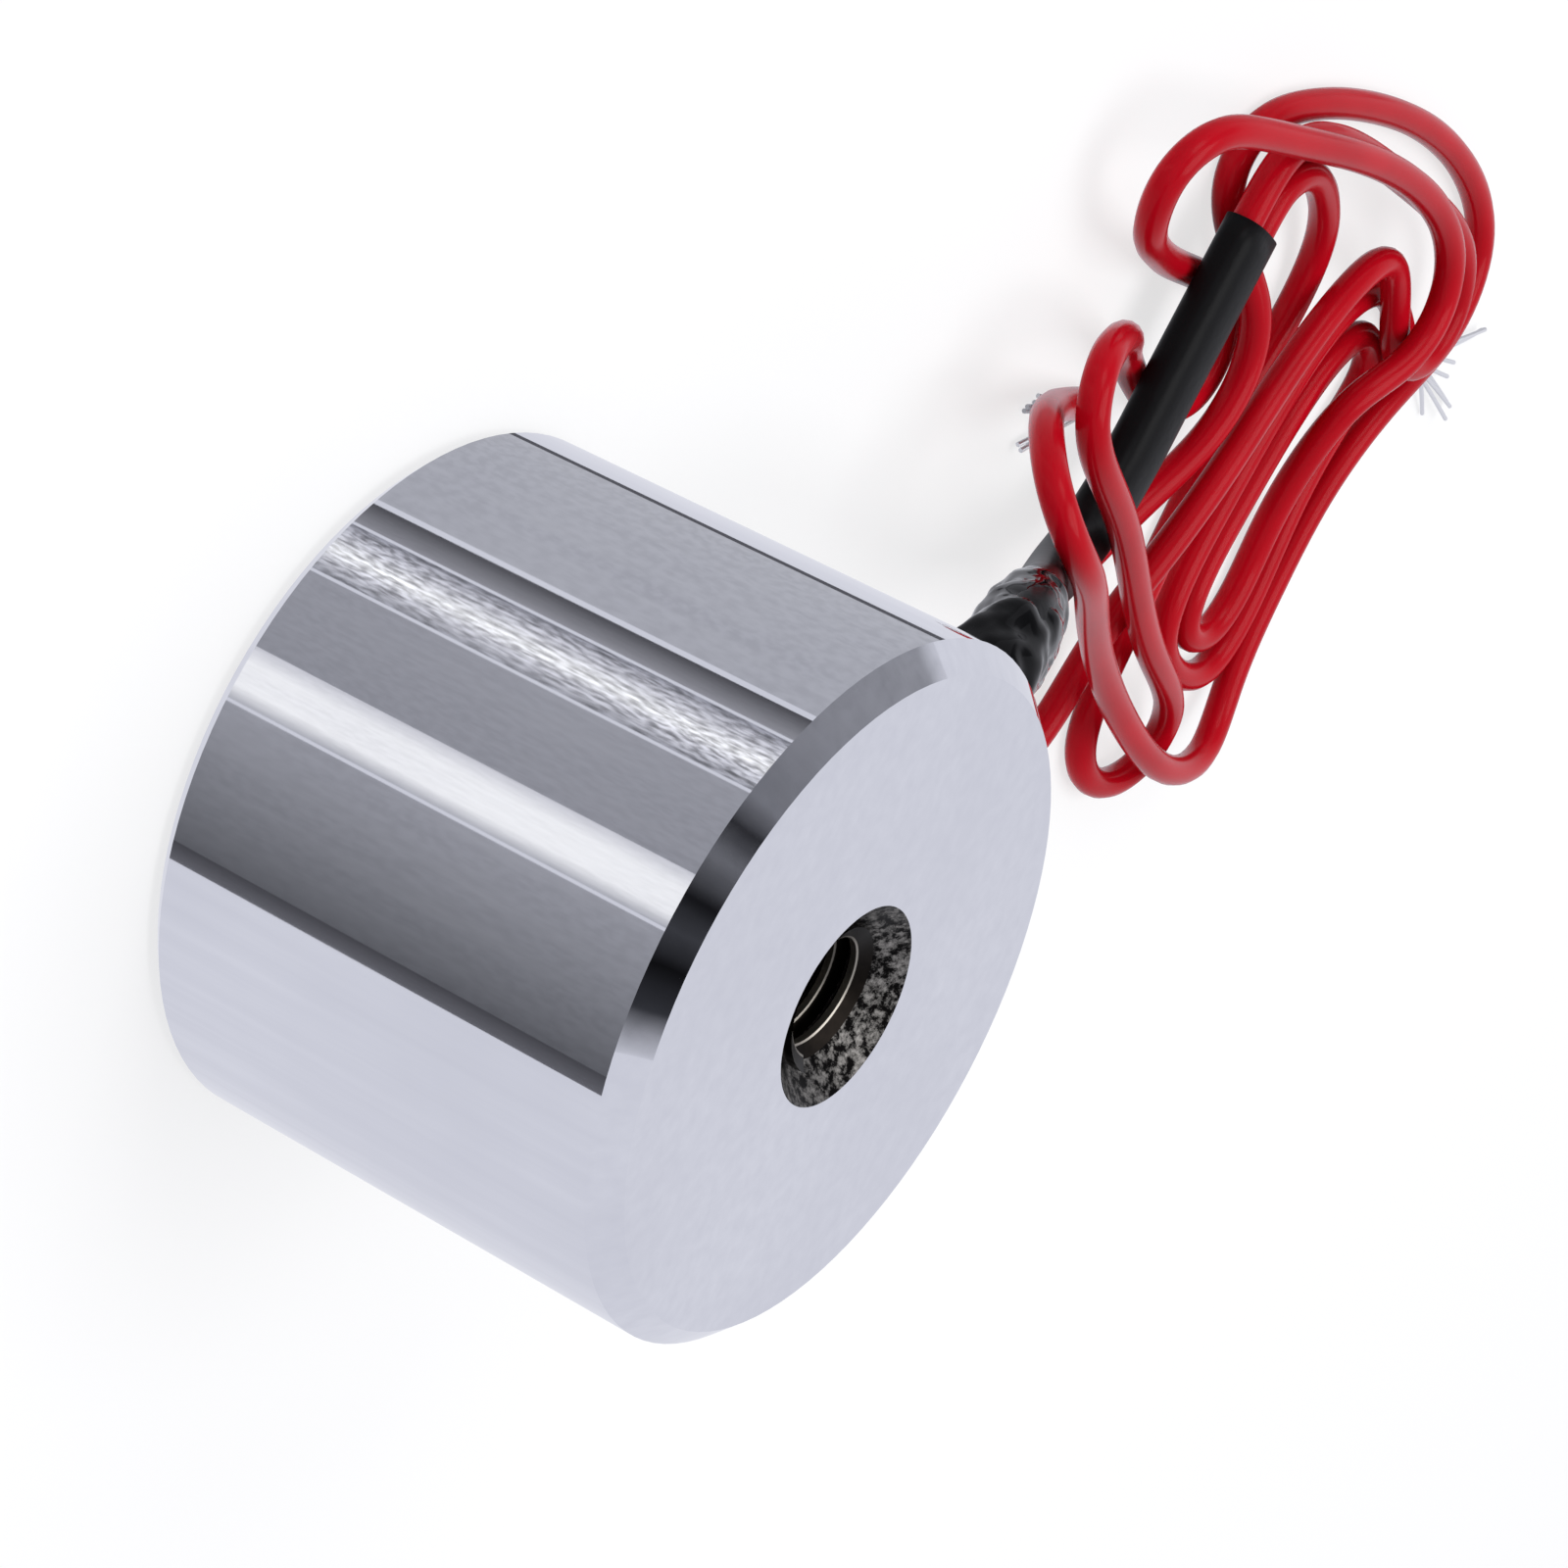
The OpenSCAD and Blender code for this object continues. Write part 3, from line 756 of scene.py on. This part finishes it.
# At a scale of 1, the bands of a wave are 2 pi / 20 apart.
band_scale = per_metre(WIRE_PITCH) / 20 * 2 * math.pi
turns = add_node(tree, "ShaderNodeTexWave", {"Vector": place, "Scale": band_scale}, bands_direction="Z")
bump = add_node(tree, "ShaderNodeBump", {
    "Height": turns.outputs[1], "Strength": 0.6, "Distance": WIRE_DEPTH * MM})
tree.links.new(bump.outputs[0], shader_of(copper).inputs["Normal"])
dress(copper, nodes["coil_winding"], nodes["coil_tail_a"], nodes["coil_tail_b"])

tape = new_finish("yellow polyester film tape", "d6a51e", 0.22)
dress(tape, nodes["winding_tape"])

tubing = new_finish("white splice tubing", "d8d8d2", 0.5)
dress(tubing, nodes["splice_tube_a"], nodes["splice_tube_b"])

# %% Inner finishes: resin
GROUND_PATCH_SIZE = 0.4

resin = new_finish("black potting epoxy", "141415", 0.3)
tree = resin.node_tree
place = add_node(tree, "ShaderNodeTexCoord").outputs["Object"]
ground = add_node(tree, "ShaderNodeTexNoise", {
    "Vector": place, "Scale": per_metre(GROUND_PATCH_SIZE), "Detail": 3})
rough = add_node(tree, "ShaderNodeMapRange", {"Value": ground.outputs[0], "To Min": 0.25, "To Max": 0.5})
tree.links.new(rough.outputs[0], shader_of(resin).inputs["Roughness"])
dress(resin, nodes["potting_ring"])

# %% [markdown]
# ## The floor
#
# The photograph's background is plain white, with hardly a shadow. More light on a floor would bleach the
# object too. So the floor is painted pale, and shines white to the camera in part, which keeps some of the
# shadow.

# %% Floor
FLOOR_SIZE = 4
FLOOR_DROP = 0.02
FLOOR_PAINT = linear("f3f3f3")
FLOOR_GLOW = 0.7
WHITE = linear("ffffff")

bpy.ops.object.select_all(action="DESELECT")
bpy.ops.mesh.primitive_plane_add(size=FLOOR_SIZE, location=(0, 0, -FLOOR_DROP * MM))
floor = bpy.context.active_object
floor.name = "floor"
floor_material = bpy.data.materials.new("white floor")
floor_material.use_nodes = True
tree = floor_material.node_tree
tree.nodes.clear()
painted = add_node(tree, "ShaderNodeBsdfDiffuse", {"Color": FLOOR_PAINT})
shining = add_node(tree, "ShaderNodeEmission", {"Color": WHITE, "Strength": 1.0})
ray = add_node(tree, "ShaderNodeLightPath")
glow = add_node(tree, "ShaderNodeMath", {
    0: ray.outputs["Is Camera Ray"], 1: FLOOR_GLOW}, operation="MULTIPLY")
mixed = add_node(tree, "ShaderNodeMixShader", {
    0: glow.outputs[0], 1: painted.outputs[0], 2: shining.outputs[0]})
add_node(tree, "ShaderNodeOutputMaterial", {"Surface": mixed.outputs[0]})
floor.data.materials.append(floor_material)
# The cards reach below the floor, so reflections look through it.
floor.visible_glossy = False
print("floor", FLOOR_SIZE, "m across")

# %% [markdown]
# ## The room and the lamps
#
# The object stands in an even, pale room, which lights it from all sides. Metal sees that room a little
# brighter than other things do, and the camera sees white. Two soft square lamps, one overhead and one from
# the left, give the leads their highlights. Small lamps would throw hard shadows that the photograph
# doesn't have.

# %% Room
ROOM_STRENGTH = 0.8
MORE_IN_METAL = 0.32

world = bpy.data.worlds.new("studio")
bpy.context.scene.world = world
world.use_nodes = True
tree = world.node_tree
tree.nodes.clear()
ray = add_node(tree, "ShaderNodeLightPath")
seen = add_node(tree, "ShaderNodeMath", {
    0: ray.outputs["Is Camera Ray"], 1: ray.outputs["Is Transmission Ray"]}, operation="MAXIMUM")
brighter = add_node(tree, "ShaderNodeMath", {
    0: ray.outputs["Is Glossy Ray"], 1: MORE_IN_METAL, 2: ROOM_STRENGTH}, operation="MULTIPLY_ADD")
room = add_node(tree, "ShaderNodeBackground", {"Color": linear("d9dae2"), "Strength": brighter.outputs[0]})
white = add_node(tree, "ShaderNodeBackground", {"Color": WHITE, "Strength": 1.0})
mixed = add_node(tree, "ShaderNodeMixShader", {0: seen.outputs[0], 1: room.outputs[0], 2: white.outputs[0]})
add_node(tree, "ShaderNodeOutputWorld", {"Surface": mixed.outputs[0]})
print("room at", ROOM_STRENGTH, "and in metal at", ROOM_STRENGTH + MORE_IN_METAL)

# %% Lamps
LAMPS_LOOK_AT = Vector((-0.01, 0.02, 0))


def softbox(name, spot, size, watts):
    """A square area lamp that looks at the object."""
    data = bpy.data.lights.new(name, "AREA")
    data.size = size
    data.energy = watts
    lamp = bpy.data.objects.new(name, data)
    lamp.location = spot
    lamp.rotation_euler = (LAMPS_LOOK_AT - Vector(spot)).to_track_quat("-Z", "Y").to_euler()
    bpy.context.scene.collection.objects.link(lamp)
    print("lamp", name, watts, "W")


softbox("overhead", spot=(-0.1, 0.0, 0.5), size=0.4, watts=1.6)
softbox("from_the_left", spot=(-0.35, -0.25, 0.3), size=0.25, watts=0.5)

# %% [markdown]
# ## Cards round the pot
#
# Bright metal shows what stands round it. The streaks on the wall could be painted on it, but then they
# would stay in place when the pot is turned. Strips of grey and white card stand round the pot instead, as
# a photographer would place them. Only reflections see them. One card is of crinkled foil, which makes the
# sparkling streak.

# %% A card
CARD_STEPS = 24
# How many crinkles there are along a card and up it
FOIL_CRINKLES = (16, 400, 1)
FOIL_RANGE = {"From Min": 0.45, "From Max": 0.55}


def make_card(name, stops, place_of, sparkle=0.0, strength=1.0):
    """A curved card that only reflections see. Its shade runs along it through the stops."""
    bpy.ops.object.select_all(action="DESELECT")
    bpy.ops.mesh.primitive_grid_add(x_subdivisions=CARD_STEPS, y_subdivisions=1, size=1)
    card = bpy.context.active_object
    card.name = "card_" + name
    for vertex in card.data.vertices:
        vertex.co = place_of(vertex.co.x + 0.5, 1 if vertex.co.y > 0 else -1)
    material = bpy.data.materials.new("card " + name)
    material.use_nodes = True
    tree = material.node_tree
    tree.nodes.clear()
    flat = add_node(tree, "ShaderNodeTexCoord").outputs["UV"]
    along = add_node(tree, "ShaderNodeSeparateXYZ", {0: flat})
    shade = add_node(tree, "ShaderNodeValToRGB", {"Fac": along.outputs["X"]})
    ramp = shade.color_ramp.elements
    while len(ramp) < len(stops):
        ramp.new(0.5)
    for element, (at, hex_colour) in zip(ramp, stops):
        element.position = at
        element.color = linear(hex_colour)
    fine = add_node(tree, "ShaderNodeVectorMath", {0: flat, 1: FOIL_CRINKLES}, operation="MULTIPLY")
    foil = add_node(tree, "ShaderNodeTexNoise", {
        "Vector": fine.outputs[0], "Scale": 1.0, "Detail": 6, "Roughness": 0.7})
    glint = add_node(tree, "ShaderNodeMapRange", {
        "Value": foil.outputs[0], **FOIL_RANGE, "To Min": strength * (1 - sparkle), "To Max": strength})
    lit = add_node(tree, "ShaderNodeEmission", {"Color": shade.outputs[0], "Strength": glint.outputs[0]})
    add_node(tree, "ShaderNodeOutputMaterial", {"Surface": lit.outputs[0]})
    card.data.materials.append(material)
    card.visible_camera = False
    card.visible_diffuse = False
    card.visible_transmission = False
    card.visible_shadow = False
    print(card.name, "with", len(stops), "shades")


# %% Cards that stand round the pot
CARD_R = 0.15
CARD_LOW = -0.25
CARD_HIGH = 0.01
CARD_SPARKLE = 0.12
WALL_CARDS = {
    # First and last angle in degrees, shades from the first to the last
    "dark_edge": (-139, -136, ((0, "606066"), (1, "606066"))),
    "grey_wide": (-136, -73, ((0, "c4c5cc"), (1, "bebfc6"))),
    "dark_narrow": (-71, -62, ((0, "55555a"), (1, "a0a0a6"))),
    "grey_near": (-41, -13, ((0, "acadb4"), (1, "a4a5ac"))),
    "grey_fading": (5, 50, ((0, "acadb4"), (1, "6a6b70"))),
    "black_line": (50, 56, ((0, "505055"), (1, "707076"))),
}
FOIL_SHADES = ((0, "90919a"), (0.3, "d6d6dc"), (0.55, "ffffff"), (0.75, "d6d6dc"), (1, "9c9da4"))
STRIP_SHADES = ((0, "d8d8de"), (0.3, "ffffff"), (0.75, "ffffff"), (1, "b4b5bc"))


def upright(start, end):
    """Places for a card that stands round the pot; the angles run from the camera's side towards +X."""
    def place_of(along, side):
        turn = math.radians(start + (end - start) * along)
        return (CARD_R * math.sin(turn), -CARD_R * math.cos(turn), CARD_HIGH if side > 0 else CARD_LOW)
    return place_of


for name, (start, end, shades) in WALL_CARDS.items():
    make_card(name, shades, upright(start, end), sparkle=CARD_SPARKLE)
make_card("crinkled_foil", FOIL_SHADES, upright(-61, -42), sparkle=0.8, strength=1.7)
make_card("white_strip", STRIP_SHADES, upright(-13, 4), sparkle=CARD_SPARKLE, strength=1.15)

# %% [markdown]
# ## The card over the chamfer
#
# The chamfer slopes upwards and out, so it mirrors other places than the wall does. Its card could be moved
# about until it shows. Here the camera's line of sight is turned back at the chamfer as at a mirror, for
# each angle round the pot, and the card hangs along those directions.

# %% Card over the chamfer
HANG_R = 0.2
HANG_HALF = 0.035
CHAMFER_FROM = 206
CHAMFER_TO = 292
CHAMFER_SHADES = (
    (0, "e4e5ee"), (0.06, "a6a7ae"), (0.35, "9a9ba2"), (0.52, "83848b"), (0.58, "2c2c31"), (0.64, "75767c"),
    (0.72, "18181b"), (0.78, "45464b"), (0.84, "141416"), (0.92, "3a3b40"), (1, "e4e5ee"))


def chamfer_sight(angle):
    """Where the camera looks by way of the chamfer, which slopes by 45 degrees."""
    normal = round_the_axis(1, angle, 1).normalized()
    return LOOKS_ALONG - 2 * LOOKS_ALONG.dot(normal) * normal


def over_the_chamfer(along, side):
    """Places for a card that hangs where the chamfer shows it to the camera."""
    angle = CHAMFER_FROM + (CHAMFER_TO - CHAMFER_FROM) * along
    sight = chamfer_sight(angle)
    across = (chamfer_sight(angle + 1) - sight).cross(sight).normalized()
    return sight * HANG_R + across * HANG_HALF * side


make_card("over_the_chamfer", CHAMFER_SHADES, over_the_chamfer, sparkle=0.25)

# %% [markdown]
# ## Finish
#
# The colours are shown as they are, without a film look.

# %% Finish
bpy.context.scene.view_settings.view_transform = "Standard"
bpy.context.view_layer.update()
